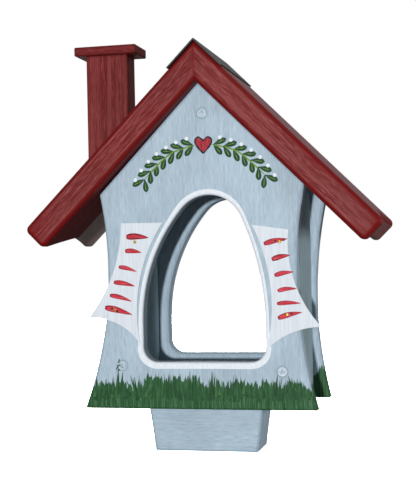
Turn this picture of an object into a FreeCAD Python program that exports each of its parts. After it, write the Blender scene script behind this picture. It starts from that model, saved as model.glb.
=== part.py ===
"""Painted wooden bird feeder house, built as a joiner would build it.

Two shaped panels stand front and rear, with boards between them as side walls and
floor. Four planks make the two slopes of the roof, a folded strip covers the ridge,
a chimney stands on the left slope and a tapered block under the floor takes a pole.
Millimetres, +Z up, the front faces -Y, the origin is the middle of the underside.
"""
import FreeCAD, Part
import os
import Sketcher
from FreeCAD import Placement, Rotation, Vector

Y_AXIS = Vector(0, 1, 0)
Z_AXIS = Vector(0, 0, 1)

DIMENSIONS = {
    # body
    "board_thick": 18.0,
    "body_depth": 115.0,
    "wall_thick": 22.0,
    "wall_outer": 95.0,
    "foot_left": 125.2,
    "foot_right": 112.0,
    "waist_left": 98.2,
    "waist_right": 94.5,
    "waist_height": 135.0,
    "shoulder_half": 104.0,
    "shoulder_left": 105.5,
    "shoulder_gap": 3.5,
    "panel_round": 2.5,
    # the rear panel is cut fuller on its right side
    "rear_waist_extra": 6.0,
    "rear_shoulder_extra": 8.0,
    # opening in both panels, heights above the lower edge of the panel
    "sill_height": 47.0,
    "sill_corner": 15.0,
    "opening_half": 62.5,
    "spring_height": 87.0,
    "crown_height": 213.0,
    "crown_radius": 36.0,
    "crown_offset": 7.0,
    # roof, both slopes fall at 45 degrees
    "roof_thick": 28.0,
    "roof_depth": 150.0,
    "ridge_height": 364.0,
    "slope_length": 256.8,
    "eave_dip": 13.0,
    "eave_dip_middle": 7.15,
    "eave_flat": 14.0,
    "overcut": 5.0,
    "plank_round": 6.0,
    "batten_half": 20.0,
    "batten_height": 48.0,
    "strip_width": 38.0,
    "strip_thick": 1.5,
    # chimney
    "chimney_offset": 109.5,
    "shaft_width": 45.0,
    "shaft_depth": 28.0,
    "shaft_top": 365.3,
    "cap_width": 67.5,
    "cap_depth": 40.0,
    "cap_thick": 9.5,
    "cap_round": 1.5,
    # base block and pole socket
    "block_height": 47.0,
    "block_top_half": 60.0,
    "block_foot_half": 53.5,
    "block_offset": -7.0,
    "block_depth": 51.0,
    "block_round": 1.5,
    "socket_radius": 16.0,
    "socket_depth": 38.0,
    # curtains of thin sheet
    "sheet_thick": 1.0,
    "curtain_stagger": 4.0,
    "flank_out": 89.0,
    "flank_height": 143.0,
    "hem_run": 24.0,
    "hem_sag": 3.5,
    "left_inner": 39.5,
    "left_inner_height": 182.5,
    "left_outer": 83.0,
    "left_outer_height": 183.0,
    "left_tip_out": 119.0,
    "left_tip_height": 88.0,
    "left_foot_out": 65.0,
    "left_foot_height": 61.5,
    "left_lining_out": 67.7,
    "left_lining_height": 99.0,
    "right_inner": 51.5,
    "right_inner_height": 186.0,
    "right_outer": 87.5,
    "right_outer_height": 180.5,
    "right_tip_out": 118.0,
    "right_tip_height": 85.5,
    "right_foot_out": 64.0,
    "right_foot_height": 64.0,
    "right_lining_out": 69.5,
    "right_lining_height": 112.0,
    # fasteners
    "screw_head": 9.6,
    "screw_shank": 4.0,
    "screw_long": 45.0,
    "screw_left": 84.5,
    "screw_left_row": 43.5,
    "screw_right": 78.5,
    "screw_right_row": 38.0,
    "screw_apex": 3.0,
    "screw_apex_row": 294.0,
    "nail_shank": 2.2,
    "nail_head": 5.0,
    "head_thick": 0.5,
    "hole_clearance": 0.4,
    "roof_nail_long": 50.0,
    "roof_nail_high": 44.0,
    "roof_nail_low": 126.0,
    "chimney_screw_apart": 9.0,
    "chimney_screw_inset": 8.0,
    "cap_nail_long": 30.0,
    "cap_nail_apart": 10.0,
    "floor_nail_long": 45.0,
    "floor_nail_apart": 24.0,
    "block_screw_across": 36.0,
    "block_screw_apart": 13.0,
    "pin_shank": 1.2,
    "pin_head": 3.2,
    "strip_pin_long": 16.0,
    "strip_pin_inset": 7.0,
    "strip_pin_end": 60.0,
    "curtain_pin_long": 14.0,
    "left_high_pin_out": 68.6,
    "left_high_pin_row": 167.8,
    "left_low_pin_out": 91.0,
    "left_low_pin_row": 100.0,
    "right_high_pin_out": 78.5,
    "right_high_pin_row": 164.8,
    "right_low_pin_out": 84.5,
    "right_low_pin_row": 93.8,
}

doc = FreeCAD.newDocument("birdhouse")


def make_sheet():
    """Lay the driving dimensions out in a sheet: name, value."""
    table = doc.addObject("Spreadsheet::Sheet", "sizes")
    for row, (name, value) in enumerate(DIMENSIONS.items(), start=1):
        table.set(f"A{row}", name)
        table.set(f"B{row}", str(value))
        table.setAlias(f"B{row}", name)
    doc.recompute()
    return table


sizes = make_sheet()


def size(name):
    """Value of one cell of the sheet."""
    return float(sizes.get(name))


def cell(name):
    """The same cell as an expression."""
    return f"sizes.{name}"


# Heights that follow from the driving dimensions, as expressions and as numbers.
GABLE_APEX = "(sizes.ridge_height - sizes.roof_thick * sqrt(2))"
gable_apex = size("ridge_height") - size("roof_thick") * 2 ** 0.5
HALF_DEPTH = "(sizes.body_depth / 2)"
half_depth = size("body_depth") / 2
INNER_GAP = "(sizes.body_depth - 2 * sizes.board_thick)"
inner_gap = size("body_depth") - 2 * size("board_thick")
WALL_INNER = "(sizes.wall_outer - sizes.wall_thick)"
wall_inner = size("wall_outer") - size("wall_thick")


class Outline:
    """A closed outline in a sketch, drawn corner by corner.

    Each corner is a pair of (number, expression) values, and the corner's place is
    held by two dimensions that carry those expressions.
    """

    def __init__(self, sketch):
        self.sketch = sketch
        self.first = None
        self.last = None
        self.at = None
        self.start = None

    def pin(self, geometry, point, corner):
        """Hold one point at a corner."""
        for kind, axis, (value, expression) in zip(("DistanceX", "DistanceY"), (-2, -1), corner):
            if expression is None:
                self.sketch.addConstraint(Sketcher.Constraint("PointOnObject", geometry, point, axis))
                continue
            index = self.sketch.addConstraint(
                Sketcher.Constraint(kind, -1, 1, geometry, point, value))
            self.sketch.setExpression(f"Constraints[{index}]", expression)

    def begin(self, corner):
        self.at = self.start = corner

    def join(self, geometry, start_point, end_point, corner):
        """Join a new piece to the outline; close it on the first corner."""
        if self.last is None:
            self.first = (geometry, start_point)
            self.pin(geometry, start_point, self.at)
        else:
            self.sketch.addConstraint(
                Sketcher.Constraint("Coincident", *self.last, geometry, start_point))
        if corner is self.start:
            self.sketch.addConstraint(
                Sketcher.Constraint("Coincident", geometry, end_point, *self.first))
        else:
            self.pin(geometry, end_point, corner)
        self.last = (geometry, end_point)
        self.at = corner

    def line(self, corner):
        a = Vector(self.at[0][0], self.at[1][0], 0)
        b = Vector(corner[0][0], corner[1][0], 0)
        self.join(self.sketch.addGeometry(Part.LineSegment(a, b), False), 1, 2, corner)

    def arc(self, middle, corner):
        """Arc through a middle point, which is held like a corner."""
        a = Vector(self.at[0][0], self.at[1][0], 0)
        m = Vector(middle[0][0], middle[1][0], 0)
        b = Vector(corner[0][0], corner[1][0], 0)
        geometry = self.sketch.addGeometry(Part.Arc(a, m, b), False)
        anticlockwise = (m - a).cross(b - m).z > 0
        ends = (1, 2) if anticlockwise else (2, 1)
        mark = self.sketch.addGeometry(Part.Point(m), True)
        self.join(geometry, *ends, corner)
        self.pin(mark, 1, middle)
        self.sketch.addConstraint(Sketcher.Constraint("PointOnObject", mark, 1, geometry))


def known(name):
    """A corner value read from one cell."""
    return (size(name), cell(name))


def mirrored(value):
    """The same corner value on the other side of zero."""
    number, expression = value
    return (-number, f"-({expression})")


def fuller(name, extra):
    """A corner value read from one cell and widened by another."""
    return (size(name) + size(extra), f"{cell(name)} + {cell(extra)}")


ZERO = (0.0, None)


def new_body(name):
    body = doc.addObject("PartDesign::Body", name)
    body.Label = name
    return body


def new_sketch(body, name, plane):
    """Sketch on one of the body's own origin planes."""
    sketch = body.newObject("Sketcher::SketchObject", name)
    role = f"{plane}_Plane"
    support = [part for part in body.Origin.OriginFeatures if part.Role == role][0]
    sketch.AttachmentSupport = [(support, "")]
    sketch.MapMode = "FlatFace"
    return sketch


def new_pad(body, sketch, expression, towards_rear=True, centred=False):
    """Pad a sketch; a sketch on the XZ plane faces -Y, so +Y is its reverse."""
    pad = body.newObject("PartDesign::Pad", f"{body.Name}_pad")
    pad.Profile = sketch
    pad.setExpression("Length", expression)
    pad.Midplane = centred
    pad.Reversed = towards_rear and not centred
    doc.recompute()
    return pad


def cut_through(body, sketch, name):
    """Pocket through everything, checked by the volume it takes away."""
    before = body.Shape.Volume
    pocket = body.newObject("PartDesign::Pocket", name)
    pocket.Profile = sketch
    pocket.Type = "ThroughAll"
    pocket.Midplane = True
    doc.recompute()
    assert body.Shape.Volume < before - 1.0, f"{name} cuts nothing"
    return pocket


def round_edges(body, base, name, radius, chosen):
    """Fillet the edges of the last feature that the test accepts."""
    names = [f"Edge{i}" for i, edge in enumerate(base.Shape.Edges, start=1) if chosen(edge)]
    fillet = body.newObject("PartDesign::Fillet", name)
    fillet.Base = (base, names)
    fillet.setExpression("Radius", cell(radius))
    doc.recompute()
    taken = base.Shape.Volume - fillet.Shape.Volume
    assert 0 < taken < 0.02 * base.Shape.Volume, f"{name} takes away {taken:.0f} mm3"
    return fillet


def near(a, b):
    return abs(a - b) < 0.01


def flat_in_y(edge):
    """True where an edge lies in a plane of constant Y."""
    box = edge.BoundBox
    return box.YLength < 0.01


# --- panels -------------------------------------------------------------------

# The opening is a three-centred arch on upright sides with rounded sill corners. The
# crown sits a little to one side, so the two side arcs have different radii.
RISE = "(sizes.crown_height - sizes.spring_height - sizes.crown_radius)"


def arch_corners(side):
    """Where a side arc meets the crown arc, and a middle point of the side arc.

    Both are worked out from the crown's own upright: half is the width from it to the
    side, radius the side arc's radius and spread the distance from it to that arc's centre.
    """
    rise = size("crown_height") - size("spring_height") - size("crown_radius")
    crown = size("crown_radius")
    half = size("opening_half") - side * size("crown_offset")
    half_text = f"(sizes.opening_half - {side} * sizes.crown_offset)"
    radius = (half ** 2 + rise ** 2 - crown ** 2) / (2 * (half - crown))
    radius_text = (f"(({half_text}^2 + {RISE}^2 - sizes.crown_radius^2)"
                   f" / (2 * ({half_text} - sizes.crown_radius)))")
    spread = radius - half
    spread_text = f"({radius_text} - {half_text})"
    reach = radius / (radius - crown)
    reach_text = f"({radius_text} / ({radius_text} - sizes.crown_radius))"
    spring = size("spring_height")

    def placed(out, out_text, up, up_text):
        """Corner at a distance out from the crown's upright and up from the spring."""
        return ((size("crown_offset") + side * out, f"sizes.crown_offset + {side} * ({out_text})"),
                (spring + up, f"sizes.spring_height + {up_text}"))

    meet = placed(spread * (reach - 1), f"{spread_text} * ({reach_text} - 1)",
                  rise * reach, f"{RISE} * {reach_text}")
    chord_out = spread * reach + radius
    chord_up = rise * reach
    scale = radius / (chord_out ** 2 + chord_up ** 2) ** 0.5
    chord_out_text = f"({spread_text} * {reach_text} + {radius_text})"
    chord_up_text = f"({RISE} * {reach_text})"
    scale_text = f"({radius_text} / sqrt({chord_out_text}^2 + {chord_up_text}^2))"
    middle = placed(chord_out * scale - spread, f"{chord_out_text} * {scale_text} - {spread_text}",
                    chord_up * scale, f"{chord_up_text} * {scale_text}")
    return meet, middle


def shoulder_at(out):
    """The corner where a panel's side meets the roof, at a distance out from the middle."""
    number, expression = out
    return (out, (gable_apex - number, f"{GABLE_APEX} - ({expression})"))


def draw_panel_outline(sketch, face_sign):
    """Gable top, shoulders, one long concave side each way, flared foot.

    The left shoulder stops short of the roof.
    """
    waist = known("waist_right")
    shoulder = known("shoulder_half")
    if face_sign > 0:
        waist = fuller("waist_right", "rear_waist_extra")
        shoulder = fuller("shoulder_half", "rear_shoulder_extra")
    left_out, left_top = shoulder_at(known("shoulder_left"))
    left_top = (left_top[0] - size("shoulder_gap"), f"{left_top[1]} - sizes.shoulder_gap")
    outline = Outline(sketch)
    start = (mirrored(known("foot_left")), ZERO)
    outline.begin(start)
    outline.line((known("foot_right"), ZERO))
    outline.arc((waist, known("waist_height")), shoulder_at(shoulder))
    outline.line((ZERO, (gable_apex, GABLE_APEX)))
    outline.line((mirrored(left_out), left_top))
    outline.arc((mirrored(known("waist_left")), known("waist_height")), start)


def draw_opening(sketch):
    """The opening: sill, rounded corners, upright sides, three-centred arch."""
    meet, middle = arch_corners(1)
    far_meet, far_middle = arch_corners(-1)
    half = known("opening_half")
    sill = known("sill_height")
    corner = size("sill_corner")
    inset = (size("opening_half") - corner, "sizes.opening_half - sizes.sill_corner")
    raised = (size("sill_height") + corner, "sizes.sill_height + sizes.sill_corner")
    cut = corner * (1 - 0.5 ** 0.5)
    cut_text = "sizes.sill_corner * (1 - sqrt(0.5))"
    corner_mid = ((size("opening_half") - cut, f"sizes.opening_half - {cut_text}"),
                  (size("sill_height") + cut, f"sizes.sill_height + {cut_text}"))
    outline = Outline(sketch)
    start = (mirrored(inset), sill)
    outline.begin(start)
    outline.line((inset, sill))
    outline.arc(corner_mid, (half, raised))
    outline.line((half, known("spring_height")))
    outline.arc(middle, meet)
    outline.arc((known("crown_offset"), known("crown_height")), far_meet)
    outline.arc(far_middle, (mirrored(half), known("spring_height")))
    outline.line((mirrored(half), raised))
    outline.arc((mirrored(corner_mid[0]), corner_mid[1]), start)


def screw_places():
    """Screws of one panel: two low down into the walls, one into the ridge batten."""
    return [(mirrored(known("screw_left")), known("screw_left_row")),
            (known("screw_right"), known("screw_right_row")),
            (known("screw_apex"), known("screw_apex_row"))]


def add_screw_holes(body, face_sign):
    """Countersunk holes, opening on the outer face of the panel."""
    sketch = new_sketch(body, f"{body.Name}_hole_places", "XZ")
    if face_sign > 0:
        outer_face = Vector(0, 0, -size("board_thick"))
        sketch.AttachmentOffset = Placement(outer_face, Rotation(Y_AXIS, 180))
        sketch.setExpression(".AttachmentOffset.Base.z", "-sizes.board_thick")
    for across, up in screw_places():
        if face_sign > 0:
            across = mirrored(across)
        geometry = sketch.addGeometry(
            Part.Circle(Vector(across[0], up[0], 0), Z_AXIS, size("screw_shank") / 2), False)
        Outline(sketch).pin(geometry, 3, (across, up))
        index = sketch.addConstraint(
            Sketcher.Constraint("Radius", geometry, size("screw_shank") / 2))
        sketch.setExpression(f"Constraints[{index}]", "sizes.screw_shank / 2")
    doc.recompute()
    before = body.Shape.Volume
    hole = body.newObject("PartDesign::Hole", f"{body.Name}_holes")
    hole.Profile = sketch
    doc.recompute()
    hole.Threaded = False
    hole.DepthType = "ThroughAll"
    hole.HoleCutType = "Countersink"
    hole.HoleCutCustomValues = True
    hole.HoleCutCountersinkAngle = 90.0
    hole.setExpression("Diameter", "sizes.screw_shank + sizes.hole_clearance")
    hole.setExpression("HoleCutDiameter", "sizes.screw_head + sizes.hole_clearance")
    doc.recompute()
    assert body.Shape.Volume < before - 1.0, f"{body.Name} has no screw holes"


def add_panel(name, face_sign):
    """One panel; face_sign is -1 where its outer face is towards -Y."""
    body = new_body(name)
    outline = new_sketch(body, f"{name}_outline", "XZ")
    draw_panel_outline(outline, face_sign)
    new_pad(body, outline, cell("board_thick"))
    opening = new_sketch(body, f"{name}_opening", "XZ")
    draw_opening(opening)
    pocket = cut_through(body, opening, f"{name}_cut")
    gable_foot = gable_apex - size("shoulder_half")

    def on_opening(edge):
        box = edge.BoundBox
        central = abs(edge.CenterOfMass.x) < size("opening_half") + 1
        return flat_in_y(edge) and central and box.ZMin > 1 and box.ZMax < gable_apex - 0.01

    def on_outline(edge):
        box = edge.BoundBox
        central = abs(edge.CenterOfMass.x) < size("opening_half") + 1
        at_side = box.ZMax < gable_foot + 0.01 and not central
        return flat_in_y(edge) and (at_side or box.ZMax < 0.01)

    inner = round_edges(body, pocket, f"{name}_opening_rounds", "panel_round", on_opening)
    round_edges(body, inner, f"{name}_outline_rounds", "panel_round", on_outline)
    add_screw_holes(body, face_sign)
    forward = -half_depth if face_sign < 0 else half_depth - size("board_thick")
    forward_text = f"-{HALF_DEPTH}" if face_sign < 0 else f"{HALF_DEPTH} - sizes.board_thick"
    body.Placement = Placement(Vector(0, forward, size("block_height")), Rotation())
    body.setExpression(".Placement.Base.y", forward_text)
    body.setExpression(".Placement.Base.z", cell("block_height"))
    return body


# --- walls, floor, batten, block -----------------------------------------------

def add_wall(name, side):
    """Side wall with its top bevelled to the roof; side is +1 right, -1 left."""
    body = new_body(name)
    sketch = new_sketch(body, f"{name}_section", "XZ")
    inner = (wall_inner, WALL_INNER)
    outer = known("wall_outer")
    outline = Outline(sketch)
    start = (inner, ZERO)
    outline.begin(start)
    outline.line((outer, ZERO))
    outline.line((outer, (gable_apex - outer[0], f"{GABLE_APEX} - sizes.wall_outer")))
    outline.line((inner, (gable_apex - inner[0], f"{GABLE_APEX} - {WALL_INNER}")))
    outline.line(start)
    new_pad(body, sketch, INNER_GAP, centred=True)
    turn = Rotation(Z_AXIS, 0 if side > 0 else 180)
    body.Placement = Placement(Vector(0, 0, size("block_height")), turn)
    body.setExpression(".Placement.Base.z", cell("block_height"))


def add_floor_board():
    """Floor between the walls and panels, level with their lower edges."""
    board = doc.addObject("Part::Box", "floor_board")
    board.Label = "floor_board"
    board.setExpression("Length", f"2 * {WALL_INNER}")
    board.setExpression("Width", INNER_GAP)
    board.setExpression("Height", cell("board_thick"))
    board.Placement = Placement(Vector(-wall_inner, -inner_gap / 2, size("block_height")), Rotation())
    board.setExpression(".Placement.Base.x", f"-{WALL_INNER}")
    board.setExpression(".Placement.Base.y", f"-{INNER_GAP} / 2")
    board.setExpression(".Placement.Base.z", cell("block_height"))


def add_ridge_batten():
    """Batten under the ridge, from panel to panel, with a gabled top."""
    body = new_body("ridge_batten")
    sketch = new_sketch(body, "ridge_batten_section", "XZ")
    half = known("batten_half")
    low = (gable_apex - size("batten_height"), f"{GABLE_APEX} - sizes.batten_height")
    high = (gable_apex - size("batten_half"), f"{GABLE_APEX} - sizes.batten_half")
    outline = Outline(sketch)
    start = (mirrored(half), low)
    outline.begin(start)
    outline.line((half, low))
    outline.line((half, high))
    outline.line((ZERO, (gable_apex, GABLE_APEX)))
    outline.line((mirrored(half), high))
    outline.line(start)
    new_pad(body, sketch, INNER_GAP, centred=True)
    body.Placement = Placement(Vector(0, 0, size("block_height")), Rotation())
    body.setExpression(".Placement.Base.z", cell("block_height"))


def add_base_block():
    """Tapered block with a blind socket for a pole in its underside."""
    body = new_body("base_block")
    sketch = new_sketch(body, "base_block_section", "XZ")
    foot = known("block_foot_half")
    top = known("block_top_half")
    height = known("block_height")
    outline = Outline(sketch)
    start = (mirrored(foot), ZERO)
    outline.begin(start)
    outline.line((foot, ZERO))
    outline.line((top, height))
    outline.line((mirrored(top), height))
    outline.line(start)
    pad = new_pad(body, sketch, cell("block_depth"), centred=True)

    def visible_arris(edge):
        return edge.BoundBox.ZMax > 1 and edge.BoundBox.ZMin < 1

    round_edges(body, pad, "base_block_rounds", "block_round", visible_arris)
    mouth = new_sketch(body, "pole_socket", "XY")
    circle = mouth.addGeometry(Part.Circle(Vector(0, 0, 0), Z_AXIS, size("socket_radius")), False)
    mouth.addConstraint(Sketcher.Constraint("Coincident", circle, 3, -1, 1))
    index = mouth.addConstraint(Sketcher.Constraint("Radius", circle, size("socket_radius")))
    mouth.setExpression(f"Constraints[{index}]", cell("socket_radius"))
    before = body.Shape.Volume
    pocket = body.newObject("PartDesign::Pocket", "base_block_socket")
    pocket.Profile = mouth
    pocket.Reversed = True
    pocket.setExpression("Length", cell("socket_depth"))
    doc.recompute()
    assert body.Shape.Volume < before - 1.0, "the socket cuts nothing"
    body.Placement = Placement(Vector(size("block_offset"), 0, 0), Rotation())
    body.setExpression(".Placement.Base.x", cell("block_offset"))


# --- roof ---------------------------------------------------------------------

def add_roof_plank(name, side, end):
    """One plank, drawn flat with its outer face at Z = 0 and the ridge at X = 0.

    side is +1 right, -1 left; end is -1 front, +1 rear. The ridge end is mitred and
    the eave end dips towards the seam with its neighbour, which lies at Y = 0.
    """
    away = end * side
    body = new_body(name)
    section = new_sketch(body, f"{name}_section", "XZ")
    length = known("slope_length")
    under = (-size("roof_thick"), "-sizes.roof_thick")
    outline = Outline(section)
    start = (ZERO, ZERO)
    outline.begin(start)
    outline.line((length, ZERO))
    outline.line((length, under))
    outline.line((known("roof_thick"), under))
    outline.line(start)
    new_pad(body, section, "sizes.roof_depth / 2", towards_rear=away > 0)

    dip = new_sketch(body, f"{name}_dip", "XY")
    past = (size("slope_length") + size("overcut"), "sizes.slope_length + sizes.overcut")
    seam = (size("slope_length") - size("eave_dip"), "sizes.slope_length - sizes.eave_dip")
    waist = (size("slope_length") - size("eave_dip_middle"),
             "sizes.slope_length - sizes.eave_dip_middle")
    run = away * (size("roof_depth") / 2 - size("eave_flat"))
    run_text = f"{away} * (sizes.roof_depth / 2 - sizes.eave_flat)"
    outline = Outline(dip)
    start = (seam, ZERO)
    outline.begin(start)
    outline.line((past, ZERO))
    outline.line((past, (run, run_text)))
    outline.line((length, (run, run_text)))
    outline.arc((waist, (run / 2, f"{run_text} / 2")), start)
    pocket = cut_through(body, dip, f"{name}_eave")

    outer = away * size("roof_depth") / 2
    eave = size("slope_length") - size("eave_dip") - 0.01

    def weathered(edge):
        box = edge.BoundBox
        on_outer_face = near(edge.CenterOfMass.y, outer) and box.YLength < 0.01
        mitre = box.XLength > 0.01 and box.ZLength > 0.01
        along_eave = box.XMin > eave and box.YLength > 0.1 and box.ZLength < 0.01
        return (on_outer_face and not mitre) or along_eave

    round_edges(body, pocket, f"{name}_rounds", "plank_round", weathered)
    turn = Rotation(Y_AXIS, 45)
    if side < 0:
        turn = Rotation(Z_AXIS, 180).multiply(turn)
    ridge = size("block_height") + size("ridge_height")
    body.Placement = Placement(Vector(0, 0, ridge), turn)
    body.setExpression(".Placement.Base.z", "sizes.block_height + sizes.ridge_height")


def add_ridge_strip():
    """Strip folded over the ridge, lying on both slopes, its bend rounded on top."""
    body = new_body("ridge_strip")
    sketch = new_sketch(body, "ridge_strip_section", "XZ")
    thick = size("strip_thick")
    leg = size("strip_width") / 2 ** 0.5
    leg_text = "sizes.strip_width / sqrt(2)"
    lift = thick / 2 ** 0.5
    lift_text = "sizes.strip_thick / sqrt(2)"
    inner = ((leg, leg_text), (-leg, f"-{leg_text}"))
    outer = ((leg + lift, f"{leg_text} + {lift_text}"), (lift - leg, f"{lift_text} - {leg_text}"))
    bend = ((lift, lift_text), (lift, lift_text))
    outline = Outline(sketch)
    start = (ZERO, ZERO)
    outline.begin(start)
    outline.line(inner)
    outline.line(outer)
    outline.line(bend)
    outline.arc((ZERO, known("strip_thick")), (mirrored(bend[0]), bend[1]))
    outline.line((mirrored(outer[0]), outer[1]))
    outline.line((mirrored(inner[0]), inner[1]))
    outline.line(start)
    new_pad(body, sketch, cell("roof_depth"), centred=True)
    body.Placement = Placement(Vector(0, 0, size("block_height") + size("ridge_height")), Rotation())
    body.setExpression(".Placement.Base.z", "sizes.block_height + sizes.ridge_height")


def add_chimney():
    """Shaft cut to the left slope, and a flat cap on it."""
    body = new_body("chimney_shaft")
    sketch = new_sketch(body, "chimney_shaft_section", "XZ")
    near_ridge = (-size("chimney_offset") + size("shaft_width") / 2,
                  "-sizes.chimney_offset + sizes.shaft_width / 2")
    far = (-size("chimney_offset") - size("shaft_width") / 2,
           "-sizes.chimney_offset - sizes.shaft_width / 2")
    top = known("shaft_top")
    outline = Outline(sketch)
    start = (far, (size("ridge_height") + far[0], f"sizes.ridge_height + ({far[1]})"))
    outline.begin(start)
    outline.line((near_ridge, (size("ridge_height") + near_ridge[0],
                               f"sizes.ridge_height + ({near_ridge[1]})")))
    outline.line((near_ridge, top))
    outline.line((far, top))
    outline.line(start)
    pad = new_pad(body, sketch, cell("shaft_depth"), centred=True)

    def upright(edge):
        box = edge.BoundBox
        return box.XLength < 0.01 and box.YLength < 0.01

    round_edges(body, pad, "chimney_shaft_rounds", "cap_round", upright)
    body.Placement = Placement(Vector(0, 0, size("block_height")), Rotation())
    body.setExpression(".Placement.Base.z", cell("block_height"))

    cap = doc.addObject("Part::Box", "chimney_cap_block")
    cap.setExpression("Length", cell("cap_width"))
    cap.setExpression("Width", cell("cap_depth"))
    cap.setExpression("Height", cell("cap_thick"))
    doc.recompute()
    rounded = doc.addObject("Part::Fillet", "chimney_cap")
    rounded.Label = "chimney_cap"
    rounded.Base = cap
    radius = size("cap_round")
    rounded.Edges = [(i, radius, radius) for i in range(1, len(cap.Shape.Edges) + 1)]
    corner = Vector(-size("chimney_offset") - size("cap_width") / 2, -size("cap_depth") / 2,
                    size("block_height") + size("shaft_top"))
    rounded.Placement = Placement(corner, Rotation())
    rounded.setExpression(".Placement.Base.x", "-sizes.chimney_offset - sizes.cap_width / 2")
    rounded.setExpression(".Placement.Base.y", "-sizes.cap_depth / 2")
    rounded.setExpression(".Placement.Base.z", "sizes.block_height + sizes.shaft_top")


# --- curtains -----------------------------------------------------------------

def add_curtain(hand, side):
    """Tied-back curtain cut from thin sheet, against the front panel."""
    name = f"{hand}_curtain"
    body = new_body(name)
    sketch = new_sketch(body, f"{name}_outline", "XZ")

    def corner(out, out_text, up, up_text):
        """Corner at a distance out from the middle, on this curtain's side."""
        value = (out, out_text)
        return (value if side > 0 else mirrored(value), (up, up_text))

    def named(out, up):
        return corner(*known(out), *known(up))

    top_inner = named(f"{hand}_inner", f"{hand}_inner_height")
    top_outer = named(f"{hand}_outer", f"{hand}_outer_height")
    flank = named("flank_out", "flank_height")
    tip = named(f"{hand}_tip_out", f"{hand}_tip_height")
    hem = corner(size(f"{hand}_tip_out") - size("hem_run"),
                 f"sizes.{hand}_tip_out - sizes.hem_run",
                 size(f"{hand}_tip_height") - size("hem_sag"),
                 f"sizes.{hand}_tip_height - sizes.hem_sag")
    foot = named(f"{hand}_foot_out", f"{hand}_foot_height")
    lining = named(f"{hand}_lining_out", f"{hand}_lining_height")
    outline = Outline(sketch)
    outline.begin(top_inner)
    outline.line(top_outer)
    outline.arc(flank, tip)
    outline.arc(hem, foot)
    outline.arc(lining, top_inner)
    new_pad(body, sketch, cell("sheet_thick"), towards_rear=False)
    height = size("block_height") - side * size("curtain_stagger")
    body.Placement = Placement(Vector(0, -half_depth, height), Rotation())
    body.setExpression(".Placement.Base.y", f"-{HALF_DEPTH}")
    body.setExpression(".Placement.Base.z", f"sizes.block_height - {side} * sizes.curtain_stagger")


# --- fasteners ----------------------------------------------------------------

def along(shape, place, direction):
    """Lay a fastener drawn down -Z from its head at a place, driven along a direction."""
    shape.Placement = Placement(place, Rotation(-1 * Z_AXIS, direction))
    return shape


def wood_screw(length):
    """Countersunk screw with a cross recess: flat head at Z = 0, point at -length."""
    head = size("screw_head") / 2
    shank = size("screw_shank") / 2
    rim = 0.4
    profile = Part.makePolygon([
        Vector(0, 0, 0), Vector(head, 0, 0), Vector(head, 0, -rim),
        Vector(shank, 0, -rim - (head - shank)), Vector(shank, 0, -length + 2 * shank),
        Vector(0, 0, -length), Vector(0, 0, 0)])
    screw = Part.Face(profile).revolve(Vector(0, 0, 0), Z_AXIS, 360)
    slot_long = head * 1.05
    slot_wide = head * 0.22
    slot_deep = 1.2
    for turn in (0, 90):
        corner = Vector(-slot_long / 2, -slot_wide / 2, -slot_deep)
        slot = Part.makeBox(slot_long, slot_wide, slot_deep, corner)
        slot.rotate(Vector(0, 0, 0), Z_AXIS, turn)
        screw = screw.cut(slot)
    return screw


def nail(kind, length):
    """Flat-headed nail or pin: underside of the head at Z = 0, point at -length."""
    shank = size(f"{kind}_shank") / 2
    head = size(f"{kind}_head") / 2
    thick = size("head_thick")
    flat_top = head * 0.8
    point_long = 3 * shank
    profile = Part.makePolygon([
        Vector(0, 0, thick), Vector(flat_top, 0, thick), Vector(head, 0, thick / 2),
        Vector(head, 0, 0), Vector(shank, 0, 0), Vector(shank, 0, point_long - length),
        Vector(0, 0, -length), Vector(0, 0, thick)])
    return Part.Face(profile).revolve(Vector(0, 0, 0), Z_AXIS, 360)


def add_group(name, shapes):
    """Identical fasteners share one node, each a solid of its own."""
    feature = doc.addObject("Part::Feature", name)
    feature.Label = name
    feature.Shape = Part.makeCompound(shapes)


def slope_point(side, run, y):
    """Point of the roof's outer face, at a run down the slope from the ridge."""
    drop = run / 2 ** 0.5
    return Vector(side * drop, y, size("block_height") + size("ridge_height") - drop)


def slope_inward(side):
    return Vector(-side, 0, -1).normalize()


def both_ways(name):
    """A distance from one cell, each way from the middle."""
    return (-size(name), size(name))


def add_panel_screws():
    for name, face_sign in (("front_panel_screws", -1), ("rear_panel_screws", 1)):
        screws = []
        for across, up in screw_places():
            head = Vector(across[0], face_sign * half_depth, size("block_height") + up[0])
            screws.append(along(wood_screw(size("screw_long")), head, Vector(0, -face_sign, 0)))
        add_group(name, screws)


def add_roof_nails():
    """Two nails from each plank into the edge of the panel under it."""
    panel_middle = half_depth - size("board_thick") / 2
    nails = []
    for side in (-1, 1):
        for y in (-panel_middle, panel_middle):
            for run in (size("roof_nail_high"), size("roof_nail_low")):
                place = slope_point(side, run, y)
                nails.append(along(nail("nail", size("roof_nail_long")), place, slope_inward(side)))
    add_group("roof_nails", nails)


def add_strip_nails():
    """Short pins along both edges of the ridge strip."""
    pins = []
    for side in (-1, 1):
        for y in (-size("strip_pin_end"), 0.0, size("strip_pin_end")):
            under = slope_point(side, size("strip_width") - size("strip_pin_inset"), y)
            place = under - slope_inward(side) * size("strip_thick")
            pins.append(along(nail("pin", size("strip_pin_long")), place, slope_inward(side)))
    add_group("ridge_strip_nails", pins)


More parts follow.
